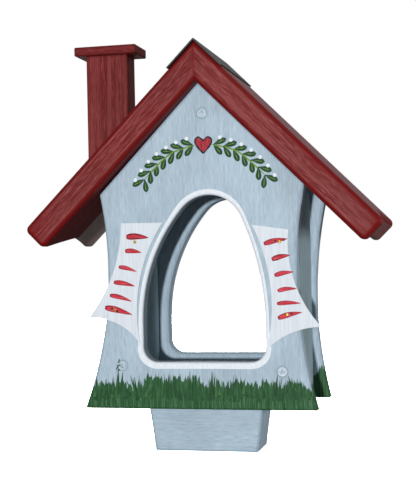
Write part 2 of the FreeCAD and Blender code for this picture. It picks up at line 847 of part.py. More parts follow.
def add_chimney_fasteners():
    """Screws up through the left slope into the shaft, nails down through the cap."""
    screws = []
    for y in both_ways("chimney_screw_apart"):
        on_face = slope_point(-1, size("chimney_offset") * 2 ** 0.5 - size("chimney_screw_inset"), y)
        place = on_face + slope_inward(-1) * size("roof_thick")
        screws.append(along(wood_screw(size("screw_long")), place, -1 * slope_inward(-1)))
    add_group("chimney_screws", screws)

    cap_top = size("block_height") + size("shaft_top") + size("cap_thick")
    nails = []
    for x in both_ways("cap_nail_apart"):
        place = Vector(x - size("chimney_offset"), 0, cap_top)
        nails.append(along(nail("nail", size("cap_nail_long")), place, Vector(0, 0, -1)))
    add_group("cap_nails", nails)


def add_floor_fasteners():
    """Nails through the walls into the floor, screws down through it into the block."""
    base = size("block_height")
    nails = []
    for side in (-1, 1):
        for y in both_ways("floor_nail_apart"):
            place = Vector(side * size("wall_outer"), y, base + size("board_thick") / 2)
            nails.append(along(nail("nail", size("floor_nail_long")), place, Vector(-side, 0, 0)))
    add_group("floor_nails", nails)

    screws = []
    for x in both_ways("block_screw_across"):
        for y in both_ways("block_screw_apart"):
            place = Vector(size("block_offset") + x, y, base + size("board_thick"))
            screws.append(along(wood_screw(size("screw_long")), place, Vector(0, 0, -1)))
    add_group("block_screws", screws)


def add_curtain_pins():
    """Two pins through each curtain into the front panel."""
    pins = []
    for hand, side in (("left", -1), ("right", 1)):
        for row in ("high", "low"):
            across = side * size(f"{hand}_{row}_pin_out")
            up = size("block_height") + size(f"{hand}_{row}_pin_row")
            place = Vector(across, -half_depth - size("sheet_thick"), up)
            pins.append(along(nail("pin", size("curtain_pin_long")), place, Vector(0, 1, 0)))
    add_group("curtain_pins", pins)


def add_fasteners():
    add_panel_screws()
    add_roof_nails()
    add_strip_nails()
    add_chimney_fasteners()
    add_floor_fasteners()
    add_curtain_pins()


def build():
    add_panel("front_panel", -1)
    add_panel("rear_panel", 1)
    add_wall("left_wall", -1)
    add_wall("right_wall", 1)
    add_floor_board()
    add_ridge_batten()
    add_base_block()
    for side, side_name in ((-1, "left"), (1, "right")):
        for end, end_name in ((-1, "front"), (1, "rear")):
            add_roof_plank(f"{side_name}_{end_name}_roof_plank", side, end)
    add_ridge_strip()
    add_chimney()
    add_curtain("left", -1)
    add_curtain("right", 1)
    add_fasteners()
    doc.recompute()


NODES = [
    "front_panel", "rear_panel", "left_wall", "right_wall", "floor_board", "ridge_batten",
    "base_block", "left_front_roof_plank", "left_rear_roof_plank", "right_front_roof_plank",
    "right_rear_roof_plank", "ridge_strip", "chimney_shaft", "chimney_cap", "left_curtain",
    "right_curtain", "front_panel_screws", "rear_panel_screws", "roof_nails",
    "ridge_strip_nails", "chimney_screws", "cap_nails", "floor_nails", "block_screws",
    "curtain_pins",
]


def write_parts():
    """Check every object, then write one STEP file for each sub-part."""
    for item in doc.Objects:
        broken = [state for state in item.State if state in ("Invalid", "Error")]
        assert not broken, f"{item.Name} is {broken}"
    os.makedirs("parts", exist_ok=True)
    for name in NODES:
        shape = doc.getObjectsByLabel(name)[0].Shape
        assert not shape.isNull() and shape.isValid(), f"{name} has no valid shape"
        shape.exportStep(f"parts/{name}.step")
        box = shape.BoundBox
        print(f"{name:24s} {shape.Volume / 1000:9.2f} cm3 solids {len(shape.Solids)}"
              f"  x {box.XMin:7.1f} {box.XMax:7.1f}  y {box.YMin:6.1f} {box.YMax:6.1f}"
              f"  z {box.ZMin:6.1f} {box.ZMax:6.1f}")


build()
write_parts()
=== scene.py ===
"""Looks of a painted wooden feeder house: finishes, hand-painted decoration, light and camera."""

import math
import random
from collections import namedtuple

import bmesh
import bpy
from mathutils import Matrix, Vector, noise


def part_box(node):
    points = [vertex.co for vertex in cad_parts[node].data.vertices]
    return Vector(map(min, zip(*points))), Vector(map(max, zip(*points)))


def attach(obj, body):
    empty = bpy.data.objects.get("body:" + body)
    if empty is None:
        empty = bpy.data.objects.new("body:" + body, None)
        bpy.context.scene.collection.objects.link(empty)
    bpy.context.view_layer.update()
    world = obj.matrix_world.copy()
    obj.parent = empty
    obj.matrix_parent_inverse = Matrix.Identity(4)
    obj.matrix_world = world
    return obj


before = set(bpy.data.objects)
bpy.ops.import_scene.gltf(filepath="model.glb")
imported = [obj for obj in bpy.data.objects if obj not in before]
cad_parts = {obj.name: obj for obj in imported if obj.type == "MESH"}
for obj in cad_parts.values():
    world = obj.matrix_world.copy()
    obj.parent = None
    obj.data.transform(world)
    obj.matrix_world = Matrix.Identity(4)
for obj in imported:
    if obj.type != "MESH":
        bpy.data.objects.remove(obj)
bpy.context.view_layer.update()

MM = 0.001
FRONT_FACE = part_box("front_panel")[0].y
REAR_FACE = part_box("rear_panel")[1].y
CURTAIN_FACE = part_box("left_curtain")[0].y
PANEL_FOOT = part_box("front_panel")[0].z
PANEL_ROUND = 2.5 * MM

Side = namedtuple("Side", "level outward")
FRONT = Side(FRONT_FACE, -1)
REAR = Side(REAR_FACE, 1)
CURTAIN = Side(CURTAIN_FACE, -1)

# Turns that lay a texture's long axis along the grain.
UPRIGHT = (0.0, math.radians(-90), 0.0)
LEVEL = (0.0, 0.0, 0.0)
FRONT_TO_BACK = (0.0, 0.0, math.radians(90))
UP_TO_THE_RIGHT = (0.0, math.radians(-45), 0.0)
DOWN_TO_THE_RIGHT = (0.0, math.radians(45), 0.0)

# How long, wide and thick the growth rings of the boards lie, in metres.
RING_SIZE = (0.22, 0.0036, 0.0036)
RING_WARP = 0.9


# ---------------------------------------------------------------- colours and node helpers

def rgb(red, green, blue):
    """The linear colour of an sRGB colour given from 0 to 255."""
    def linear(value):
        value /= 255
        if value <= 0.04045:
            return value / 12.92
        return ((value + 0.055) / 1.055) ** 2.4
    return (linear(red), linear(green), linear(blue), 1.0)


def grey(value):
    return (value, value, value, 1.0)


# The colours of one coat of paint: in the pores, on the flat, on dry raised grain, and a darker one for the
# arrises, a painted shade.
Coat = namedtuple("Coat", "deep body dry arris")
BLUE = Coat(rgb(146, 166, 181), rgb(168, 187, 201), rgb(190, 206, 217), rgb(100, 126, 144))
SHADED_BLUE = Coat(rgb(110, 134, 142), rgb(140, 164, 172), rgb(166, 186, 192), rgb(112, 136, 146))
RED = Coat(rgb(92, 12, 14), rgb(112, 24, 26), rgb(160, 92, 90), rgb(108, 8, 6))
CHIMNEY_RED = Coat(rgb(84, 12, 14), rgb(104, 22, 24), rgb(142, 68, 66), rgb(84, 6, 5))
# The front planks' undersides: a red darker than RED, painted shade.
SHADED_UNDER_RED = Coat(rgb(76, 10, 11), rgb(102, 18, 18), rgb(122, 40, 38), rgb(88, 10, 8))
UNDER_BROWN = Coat(rgb(96, 76, 74), rgb(132, 112, 108), rgb(168, 150, 146), rgb(92, 20, 18))

# Pale mauve-grey for the upward faces of the roof planks: a painted sky reflection.
PAINTED_SKY_SHEEN = rgb(150, 136, 144)


def new_material(name):
    material = bpy.data.materials.new(name)
    material.use_nodes = True
    return material, material.node_tree, material.node_tree.nodes["Principled BSDF"]


def add(tree, kind, feeds, **settings):
    """Adds a node with its settings, and feeds its inputs from outputs or plain values."""
    node = tree.nodes.new(kind)
    for name, value in settings.items():
        setattr(node, name, value)
    for socket, value in feeds.items():
        if isinstance(value, bpy.types.NodeSocket):
            tree.links.new(value, node.inputs[socket])
        else:
            node.inputs[socket].default_value = value
    return node


def place_in(tree, turn, size):
    """Object coordinates turned to the grain and measured in grains of the given size."""
    source = add(tree, "ShaderNodeTexCoord", {}).outputs["Object"]
    feeds = {"Vector": source, "Rotation": turn, "Scale": size}
    return add(tree, "ShaderNodeMapping", feeds, vector_type="TEXTURE").outputs["Vector"]


def grains(tree, turn, size, detail=3.0, warp=0.0):
    """Noise whose spots measure size, in metres along, across and through the grain."""
    feeds = {"Vector": place_in(tree, turn, size), "Scale": 1.0, "Detail": detail, "Distortion": warp}
    return add(tree, "ShaderNodeTexNoise", feeds).outputs["Fac"]


def ramp(tree, factor, *stops):
    node = add(tree, "ShaderNodeValToRGB", {"Fac": factor})
    elements = node.color_ramp.elements
    elements.remove(elements[1])
    elements[0].position, elements[0].color = stops[0]
    for place, colour in stops[1:]:
        elements.new(place).color = colour
    return node.outputs["Color"]


def blend(tree, factor, first, second, mode="MIX"):
    feeds = {0: factor, 6: first, 7: second}
    return add(tree, "ShaderNodeMix", feeds, data_type="RGBA", blend_type=mode).outputs[2]


def shaded(tree, colour, factor, *stops):
    """The colour darkened and lightened by the greys of a ramp."""
    return blend(tree, 1.0, colour, ramp(tree, factor, *stops), "MULTIPLY")


def sums(tree, operation, first, second, clamp=False):
    feeds = {0: first, 1: second}
    return add(tree, "ShaderNodeMath", feeds, operation=operation, use_clamp=clamp).outputs[0]


def relief(tree, shader, height, depth, strength=0.5):
    bump = add(tree, "ShaderNodeBump", {"Height": height, "Distance": depth, "Strength": strength})
    tree.links.new(bump.outputs["Normal"], shader.inputs["Normal"])


def arrises(tree, radius, gain):
    """1 on the edges of the piece and 0 on its flats."""
    rounded = add(tree, "ShaderNodeBevel", {"Radius": radius}, samples=4).outputs["Normal"]
    flat = add(tree, "ShaderNodeNewGeometry", {}).outputs["Normal"]
    closeness = add(tree, "ShaderNodeVectorMath", {0: rounded, 1: flat}, operation="DOT_PRODUCT")
    turned = sums(tree, "SUBTRACT", 1.0, closeness.outputs["Value"])
    return sums(tree, "MULTIPLY", turned, gain, clamp=True)


def place_along(tree, axis):
    """Where a point lies along an axis of the frame, in metres."""
    source = add(tree, "ShaderNodeTexCoord", {}).outputs["Object"]
    return add(tree, "ShaderNodeSeparateXYZ", {0: source}).outputs[axis]


# ---------------------------------------------------------------- finishes

def grass_over(tree, colour):
    """Green brushed over the foot of a panel, with a ragged top."""
    blades = grains(tree, UPRIGHT, (0.03, 0.0022, 0.0022), 4.0)
    clumps = grains(tree, UPRIGHT, (0.2, 0.018, 0.018), 1.0)
    rise = sums(tree, "MULTIPLY_ADD", blades, 0.028)
    rise.node.inputs[2].default_value = PANEL_FOOT + 0.002
    top = sums(tree, "MULTIPLY_ADD", clumps, 0.024)
    tree.links.new(rise, top.node.inputs[2])
    below = sums(tree, "SUBTRACT", top, place_along(tree, "Z"))
    cover = sums(tree, "MULTIPLY", below, 900.0, clamp=True)
    streaks = grains(tree, UPRIGHT, (0.022, 0.0009, 0.0009), 4.0)
    green_stops = [(0.34, rgb(24, 66, 36)), (0.5, rgb(38, 86, 50)), (0.76, rgb(96, 130, 96))]
    green = ramp(tree, streaks, *green_stops)
    return blend(tree, cover, colour, green)


def coat_of_paint(tree, coat, turn, figure):
    """Colour of brushed paint over grain; figure is how strongly the growth rings show."""
    fibres = grains(tree, turn, (0.010, 0.0008, 0.0008), 5.0)
    streaks = grains(tree, turn, (0.06, 0.0024, 0.0024), 3.0)
    rings = grains(tree, turn, RING_SIZE, 2.0, RING_WARP)
    blotches = grains(tree, turn, (0.07, 0.035, 0.035), 3.0)
    colour = ramp(tree, fibres, (0.32, coat.deep), (0.50, coat.body), (0.76, coat.dry))
    broad = ramp(tree, streaks, (0.28, coat.deep), (0.50, coat.body), (0.80, coat.dry))
    colour = blend(tree, 0.25, colour, broad)
    late_wood = ramp(tree, rings, (0.44, grey(0.0)), (0.60, grey(figure)), (0.68, grey(0.0)))
    colour = blend(tree, late_wood, colour, coat.dry)
    return shaded(tree, colour, blotches, (0.3, grey(0.88)), (0.7, grey(1.08)))


def painted_wood(name, coat, turn, figure=0.3, under=None, grassed=False, gloss=0.16):
    """Paint on planed softwood, with the arrises painted darker as painted shade.

    under is the coat on the underside of a roof plank: a darker red on the front planks as painted shade, a
    thin grey-brown coat on the rear ones. The plank's upward faces get a pale mauve-grey painted sky
    reflection.
    """
    material, tree, shader = new_material(name)
    colour = coat_of_paint(tree, coat, turn, figure)
    if under:
        normal = add(tree, "ShaderNodeNewGeometry", {}).outputs["Normal"]
        turned = add(tree, "ShaderNodeSeparateXYZ", {0: normal}).outputs
        facing_down = sums(tree, "LESS_THAN", turned["Z"], -0.5)
        top_sheen = ramp(tree, turned["Z"], (0.6, grey(0.0)), (0.7, grey(0.35)))
        endways = sums(tree, "ABSOLUTE", turned["Y"], 0.0)
        out = sums(tree, "ABSOLUTE", place_along(tree, "X"), 0.0)
        # The planks go to the arris colour over the last stretch towards the eave ends.
        at_eave = ramp(tree, out, (0.150, grey(0.0)), (0.174, grey(0.75)))
        # The rounded noses between the end faces and the flats go to the arris colour: painted shade.
        nose_stops = [(0.08, grey(0.0)), (0.3, grey(0.9)), (0.9, grey(0.9)), (0.995, grey(0.0))]
        on_nose = ramp(tree, endways, *nose_stops)
        colour = blend(tree, at_eave, colour, coat.arris)
        # Upward faces blend to pale mauve-grey: painted sky reflection.
        colour = blend(tree, top_sheen, colour, PAINTED_SKY_SHEEN)
        # Downward faces take the under coat: painted shade on the front planks.
        colour = blend(tree, facing_down, colour, coat_of_paint(tree, under, turn, figure))
        colour = blend(tree, on_nose, colour, coat.arris)
    # Every rounded edge is blended to the darker arris colour: painted shade.
    colour = blend(tree, arrises(tree, 0.004, 9.0), colour, coat.arris)
    if grassed:
        colour = grass_over(tree, colour)
    tree.links.new(colour, shader.inputs["Base Color"])
    fibres = grains(tree, turn, (0.03, 0.0011, 0.0011), 4.0)
    rings = grains(tree, turn, RING_SIZE, 2.0, RING_WARP)
    tree.links.new(ramp(tree, fibres, (0.3, grey(0.52)), (0.7, grey(0.72))), shader.inputs["Roughness"])
    shader.inputs["Specular IOR Level"].default_value = gloss
    ridges = sums(tree, "ADD", fibres, sums(tree, "MULTIPLY", rings, 0.8))
    relief(tree, shader, ridges, 0.0004, 0.4)
    return material


def sheet_paint():
    """White enamel brushed on thin sheet metal, with its edge faces painted grey as painted shade."""
    material, tree, shader = new_material("white_sheet_paint")
    brush = grains(tree, UPRIGHT, (0.03, 0.0012, 0.0012), 4.0)
    clouds = grains(tree, UPRIGHT, (0.03, 0.02, 0.02), 2.0)
    colour = ramp(tree, brush, (0.3, rgb(206, 214, 223)), (0.7, rgb(224, 230, 237)))
    colour = shaded(tree, colour, clouds, (0.3, grey(0.96)), (0.7, grey(1.0)))
    normal = add(tree, "ShaderNodeNewGeometry", {}).outputs["Normal"]
    facing = sums(tree, "ABSOLUTE", add(tree, "ShaderNodeSeparateXYZ", {0: normal}).outputs["Y"], 0.0)
    # Faces turned away from front and back go grey: painted shade along the sheet's edges.
    edge = sums(tree, "LESS_THAN", facing, 0.7)
    colour = blend(tree, edge, colour, rgb(150, 150, 142))
    tree.links.new(colour, shader.inputs["Base Color"])
    tree.links.new(ramp(tree, clouds, (0.3, grey(0.5)), (0.7, grey(0.65))), shader.inputs["Roughness"])
    shader.inputs["Specular IOR Level"].default_value = 0.25
    relief(tree, shader, brush, 0.0001, 0.4)
    return material


def brushed_paint(name, dark, main, light, turn=UPRIGHT, thin=0.82):
    """Artist's paint laid on with a small brush; thin is how dark it goes where there is little of it."""
    material, tree, shader = new_material(name)
    bristles = grains(tree, turn, (0.008, 0.0005, 0.0005), 3.0)
    pools = grains(tree, turn, (0.004, 0.003, 0.003), 2.0)
    colour = ramp(tree, bristles, (0.32, dark), (0.5, main), (0.72, light))
    colour = shaded(tree, colour, pools, (0.3, grey(thin)), (0.65, grey(1.05)))
    tree.links.new(colour, shader.inputs["Base Color"])
    shader.inputs["Roughness"].default_value = 0.6
    shader.inputs["Specular IOR Level"].default_value = 0.2
    relief(tree, shader, bristles, 0.00005, 0.4)
    return material


def grass_paint():
    """Each blade has its own green."""
    material, tree, shader = new_material("grass_blade_paint")
    chance = add(tree, "ShaderNodeNewGeometry", {}).outputs["Random Per Island"]
    own = ramp(tree, chance, (0.0, rgb(22, 66, 32)), (0.6, rgb(34, 82, 44)), (0.95, rgb(46, 94, 52)),
               (1.0, rgb(70, 112, 64)))
    bristles = grains(tree, UPRIGHT, (0.012, 0.0005, 0.0005), 3.0)
    colour = shaded(tree, own, bristles, (0.3, grey(0.6)), (0.55, grey(1.0)), (0.75, grey(2.0)))
    tree.links.new(colour, shader.inputs["Base Color"])
    shader.inputs["Roughness"].default_value = 0.6
    shader.inputs["Specular IOR Level"].default_value = 0.2
    relief(tree, shader, bristles, 0.00005, 0.4)
    return material


def ridge_felt():
    """Black flexible sheet, dusty along its length."""
    material, tree, shader = new_material("black_ridge_sheet")
    dust = grains(tree, FRONT_TO_BACK, (0.02, 0.0012, 0.0012), 4.0)
    colour = ramp(tree, dust, (0.35, rgb(14, 15, 17)), (0.8, rgb(44, 46, 50)))
    tree.links.new(colour, shader.inputs["Base Color"])
    tree.links.new(ramp(tree, dust, (0.3, grey(0.38)), (0.7, grey(0.6))), shader.inputs["Roughness"])
    relief(tree, shader, dust, 0.0002, 0.5)
    return material


def metal(name, bright, dull, roughness):
    """Bare metal, bright in spots and dull and rougher between them."""
    material, tree, shader = new_material(name)
    spots = grains(tree, LEVEL, (0.0012, 0.0012, 0.0012), 4.0)
    tree.links.new(ramp(tree, spots, (0.35, dull), (0.6, bright)), shader.inputs["Base Color"])
    tree.links.new(ramp(tree, spots, (0.3, grey(roughness + 0.2)), (0.7, grey(roughness))),
                   shader.inputs["Roughness"])
    shader.inputs["Metallic"].default_value = 1.0
    relief(tree, shader, spots, 0.0001, 0.3)
    return material


def painted_screw():
    """Screw heads painted over with the panel's blue, worn to zinc on the driving edges."""
    material, tree, shader = new_material("painted_screw")
    dabs = grains(tree, LEVEL, (0.0025, 0.0025, 0.0025), 3.0)
    dab_stops = [(0.3, rgb(138, 156, 170)), (0.5, rgb(172, 190, 203)), (0.75, rgb(206, 216, 224))]
    colour = ramp(tree, dabs, *dab_stops)
    worn = arrises(tree, 0.0004, 3.0)
    tree.links.new(blend(tree, worn, colour, rgb(96, 106, 116)), shader.inputs["Base Color"])
    shader.inputs["Roughness"].default_value = 0.38
    relief(tree, shader, dabs, 0.0002, 0.5)
    return material


def finish_nodes():
    """Gives every CAD node its finish."""
    wood = {
        ("front_panel", "rear_panel"): painted_wood("blue_panel_paint", BLUE, UPRIGHT, 0.2, grassed=True),
        ("left_wall", "right_wall"): painted_wood("blue_wall_paint", SHADED_BLUE, UPRIGHT, 0.3),
        ("floor_board",): painted_wood("blue_floor_paint", BLUE, LEVEL),
        ("base_block",): painted_wood("blue_block_paint", BLUE, LEVEL, 0.15),
        ("ridge_batten",): painted_wood("blue_batten_paint", SHADED_BLUE, FRONT_TO_BACK),
        ("left_front_roof_plank",):
            painted_wood("red_left_plank_paint", RED, UP_TO_THE_RIGHT, 0.4, SHADED_UNDER_RED),
        ("right_front_roof_plank",):
            painted_wood("red_right_plank_paint", RED, DOWN_TO_THE_RIGHT, 0.4, SHADED_UNDER_RED),
        ("left_rear_roof_plank",):
            painted_wood("red_left_rear_plank_paint", RED, UP_TO_THE_RIGHT, 0.4, UNDER_BROWN),
        ("right_rear_roof_plank",):
            painted_wood("red_right_rear_plank_paint", RED, DOWN_TO_THE_RIGHT, 0.4, UNDER_BROWN),
        ("chimney_shaft",): painted_wood("red_shaft_paint", CHIMNEY_RED, UPRIGHT, 0.6),
        ("chimney_cap",): painted_wood("red_cap_paint", CHIMNEY_RED, LEVEL, 0.2),
    }
    steel = metal("dull_steel", rgb(120, 124, 128), rgb(60, 64, 68), 0.45)
    other = {
        ("ridge_strip",): ridge_felt(),
        ("left_curtain", "right_curtain"): sheet_paint(),
        ("front_panel_screws", "rear_panel_screws"): painted_screw(),
        ("curtain_pins",): metal("brass", rgb(190, 150, 70), rgb(96, 68, 26), 0.4),
        ("roof_nails", "ridge_strip_nails", "cap_nails", "floor_nails"): steel,
        ("chimney_screws", "block_screws"): steel,
    }
    for nodes, material in {**wood, **other}.items():
        for node in nodes:
            for slot in bpy.data.objects[node].material_slots:
                slot.material = material


# ---------------------------------------------------------------- flat shapes, in millimetres (x, z)

# A closed painted shape. A ribbon's points go up one side and back down the other.
Shape = namedtuple("Shape", "points ribbon")


def smooth(points, steps=6):
    """A smooth open line through the points."""
    line = []
    ends = [points[0], *points, points[-1]]
    for before, start, end, after in zip(ends, ends[1:], ends[2:], ends[3:]):
        for step in range(steps):
            line.append(between(before, start, end, after, step / steps))
    line.append(Vector(points[-1]))
    return line


def between(before, start, end, after, part):
    """The Catmull-Rom point a part of the way from start to end."""
    before, start, end, after = (Vector(point) for point in (before, start, end, after))
    tangent_in = (end - before) / 2
    tangent_out = (after - start) / 2
    square, cube = part ** 2, part ** 3
    return (start * (2 * cube - 3 * square + 1) + tangent_in * (cube - 2 * square + part)
            + end * (3 * square - 2 * cube) + tangent_out * (cube - square))


def outline(*runs):
    """A closed shape of smooth runs that meet in corners."""
    return Shape([point for run in runs for point in smooth(run)[:-1]], False)


def stroke(points, half_width, steps=6):
    """The outline of a brush stroke along the points; half_width is a function of 0 to 1."""
    line = smooth(points, steps)
    left, right = [], []
    for index, point in enumerate(line):
        ahead = line[min(index + 1, len(line) - 1)]
        behind = line[max(index - 1, 0)]
        along = (ahead - behind).normalized()
        across = Vector((-along.y, along.x)) * half_width(index / (len(line) - 1))
        left.append(point + across)
        right.append(point - across)
    return Shape(left + right[::-1], True)


def even(width):
    """A stroke of one width with rounded ends."""
    return lambda part: width * max(0.25, min(1.0, 6 * part, 6 * (1 - part)))


def leaf_width(width):
    """Narrow at the base, broad and round at the tip."""
    return lambda part: width * max(0.06, math.sin(math.pi * part ** 1.55)) ** 0.75


def drop_width(width):
    """Blunt at the start, drawn out to a point at the end."""
    return lambda part: width * max(0.05, math.sin(math.pi * (0.1 + 0.9 * part) ** 0.8)) ** 0.9


def sketchy(width, seed):
    """A pen line that swells and thins."""
    return lambda part: width * (1 + 0.55 * noise.noise(Vector((part * 9, seed, 0.5))))


def disc(centre, radius, count=14):
    angles = (2 * math.pi * index / count for index in range(count))
    return Shape([Vector(centre) + radius * Vector((math.cos(a), math.sin(a))) for a in angles], False)


def cap_faces(mesh, ring, ribbon):
    """Fills one side of a shape: rungs across a ribbon, triangles in any other shape."""
    if not ribbon:
        bmesh.ops.triangulate(mesh, faces=[mesh.faces.new(ring)])
        return
    for first in range(len(ring) // 2 - 1):
        last = len(ring) - 1 - first
        mesh.faces.new((ring[first], ring[first + 1], ring[last - 1], ring[last]))


def paint_layer(name, shapes, side, height, material, spread=0.0):
    """Closed pads of paint on a flat face. height and spread, its random extra, are in millimetres."""
    sunk = 0.2 * MM
    chance = random.Random(name)
    mesh = bmesh.new()
    for shape in shapes:
        proud = (height + spread * chance.random()) * MM
        rings = []
        for level in (side.level + side.outward * proud, side.level - side.outward * sunk):
            rings.append([mesh.verts.new((point.x * MM, level, point.y * MM)) for point in shape.points])
        for ring in rings:
            cap_faces(mesh, ring, shape.ribbon)
        top, bottom = rings
        for index in range(len(top)):
            mesh.faces.new((top[index - 1], bottom[index - 1], bottom[index], top[index]))
    bmesh.ops.recalc_face_normals(mesh, faces=mesh.faces)
    return piece_of(name, mesh, material)


def piece_of(name, mesh, material):
    """Turns a bmesh into a visible piece that rides with the house."""
    data = bpy.data.meshes.new(name)
    mesh.to_mesh(data)
    mesh.free()
    data.materials.append(material)
    piece = bpy.data.objects.new(name, data)
    bpy.context.scene.collection.objects.link(piece)
    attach(piece, "root")
    return piece


# ---------------------------------------------------------------- outlines read from the frame

def flat_face_loops(node, side):
    """The closed outlines of a node's flat face, as (x, z) points in metres."""
    mesh = bmesh.new()
    mesh.from_mesh(bpy.data.objects[node].data)
    bmesh.ops.remove_doubles(mesh, verts=mesh.verts, dist=0.00001)
    flat = set()
    for face in mesh.faces:
        if face.normal.y * side.outward > 0.999 and abs(face.calc_center_median().y - side.level) < 0.00005:
            flat.add(face)
    links = {}
    for edge in mesh.edges:
        if sum(face in flat for face in edge.link_faces) == 1:
            first, second = edge.verts
            links.setdefault(first, []).append(second)
            links.setdefault(second, []).append(first)
    loops = []
    while links:
        start = next(iter(links))
        loop, here = [], start
        while here in links:
            loop.append(Vector((here.co.x, here.co.z)))
            following = [vertex for vertex in links.pop(here) if vertex in links]
            here = following[0] if following else None
        loops.append(loop)
    mesh.free()
    return loops


def width_of(loop):
    return max(point.x for point in loop) - min(point.x for point in loop)


def evenly(loop, spacing):
    """The same closed loop with points a fixed distance apart."""
    closed = loop + [loop[0]]
    lengths = [(second - first).length for first, second in zip(closed, closed[1:])]
    count = round(sum(lengths) / spacing)
    step = sum(lengths) / count
    points, walked, index = [], 0.0, 0
    for number in range(count):
        target = number * step
        while walked + lengths[index] < target:
            walked += lengths[index]
            index += 1
        share = (target - walked) / lengths[index]
        points.append(closed[index].lerp(closed[index + 1], share))
    return points


def panel_edges_at(loop, height):
    """Where a level line at a height crosses a panel's outline: its left and right x, in metres."""
    crossings = []
    for first, second in zip(loop, loop[1:] + loop[:1]):
        if (first.y - height) * (second.y - height) < 0:
            share = (height - first.y) / (second.y - first.y)
            crossings.append(first.x + share * (second.x - first.x))
    return min(crossings), max(crossings)


# ---------------------------------------------------------------- painted decoration

def white_band(material):
    """The white line painted round the front opening and over its rounding, wider at sill and crown."""
    loops = flat_face_loops("front_panel", FRONT)
    opening = sorted(loops, key=width_of)[-2]
    points = evenly(opening, 2.5 * MM)
    middle = sum(points, Vector((0, 0))) / len(points)
    proud, sunk, tail = 0.15 * MM, 0.3 * MM, 1.5 * MM
    sill_top, crown_foot, fade = 80 * MM, 180 * MM, 30 * MM
    mesh = bmesh.new()
    rings = []
    for index, point in enumerate(points):
        along = (points[(index + 1) % len(points)] - points[index - 1]).normalized()
        away = Vector((along.y, -along.x))
        if away.dot(point - middle) < 0:
            away.negate()
        sill = min(1.0, max(0.0, (PANEL_FOOT + sill_top - point.y) / fade))
        crown = min(1.0, max(0.0, (point.y - PANEL_FOOT - crown_foot) / fade))
        wobble = noise.noise(Vector((point.x * 40, point.y * 40, 3)))
        width = (1.5 + 2.6 * sill + 1.2 * crown + 0.4 * wobble) * MM
        section = [(width, sunk), (width, -proud), (0, -proud)]
        for turn in (22.5, 45, 67.5, 90):
            radius = PANEL_ROUND + proud
            arc = math.radians(turn)
            section.append((-radius * math.sin(arc), PANEL_ROUND - radius * math.cos(arc)))
        section.append((-PANEL_ROUND - proud, PANEL_ROUND + tail))
        section.append((-PANEL_ROUND + sunk, PANEL_ROUND + tail))
        section.append((0, sunk))
        ring = []
        for out, depth in section:
            spot = point + away * out
            ring.append(mesh.verts.new((spot.x, FRONT.level + depth, spot.y)))
        rings.append(ring)
    for here, following in zip(rings, rings[1:] + rings[:1]):
        for index in range(len(here)):
            mesh.faces.new((here[index - 1], here[index], following[index], following[index - 1]))
    bmesh.ops.recalc_face_normals(mesh, faces=mesh.faces)
    band = piece_of("opening_band", mesh, material)
    for polygon in band.data.polygons:
        polygon.use_smooth = True
    band.data.set_sharp_from_angle(angle=math.radians(40))


def grass_blades(name, panel, side, count, material):
    """Blades painted over the ragged top of the green, kept inside the panel's outline."""
    outer = max(flat_face_loops(panel, side), key=width_of)
    chance = random.Random(panel)
    foot = PANEL_FOOT / MM
    blades = []
    for index in range(count):
        low = foot + chance.uniform(8, 16)
        left, right = (edge / MM for edge in panel_edges_at(outer, low * MM))
        base = left + (right - left) * (index + chance.random()) / count
        spray = noise.noise(Vector((base * 0.075, 0.3, side.level * 50)))
        tip = foot + 29 + 22 * spray + chance.uniform(-6, 5)
        lean = 9.0 * noise.noise(Vector((base * 0.06, 7, 0))) + chance.uniform(-1.5, 1.8)
        half = chance.uniform(0.8, 2.3)
        line = [(base, low), (base + lean * 0.3, (low * 2 + tip) / 3), (base + lean, tip)]
        shape = stroke(line, lambda part, half=half: half * max(0.06, 1 - part ** 1.4), 3)
        for point in shape.points:
            left, right = (edge / MM for edge in panel_edges_at(outer, point.y * MM))
            point.x = min(max(point.x, left + 0.2), right - 0.2)
        blades.append(shape)
    paint_layer(name, blades, side, 0.06, material, spread=0.12)


# The arch of leaves over the opening: the middle and radius of its arc, and its leaf pairs on each side.
ARCH_MIDDLE = Vector((4.0, 236.0))
ARCH_RADIUS = 74.0
LEAF_PAIRS = 7
FIRST_PAIR = 8.0        # degrees from the top of the arc
PAIR_STEP = 8.0         # degrees
LEAF_REACH = 8.5        # degrees along the arc, from a leaf's base to its tip
LEAF_RISE = 8.0         # millimetres off the arc, at its tip
LEAF_HALF = 2.9         # millimetres across a leaf, from its middle line
BERRY_RADIUS = 1.9      # millimetres
# The right half of the heart, from its point up to its cleft, about the top of the arch.
HEART_HALF = [(0, -9), (6, -2.4), (8.6, 3.6), (4.8, 7.4), (0, 3.6)]


def on_arch(turn, off=0.0):
    """The point a turn in degrees from the top of the arch, and some millimetres off its arc."""
    angle = math.radians(turn)
    return ARCH_MIDDLE + (ARCH_RADIUS + off) * Vector((math.sin(angle), math.cos(angle)))


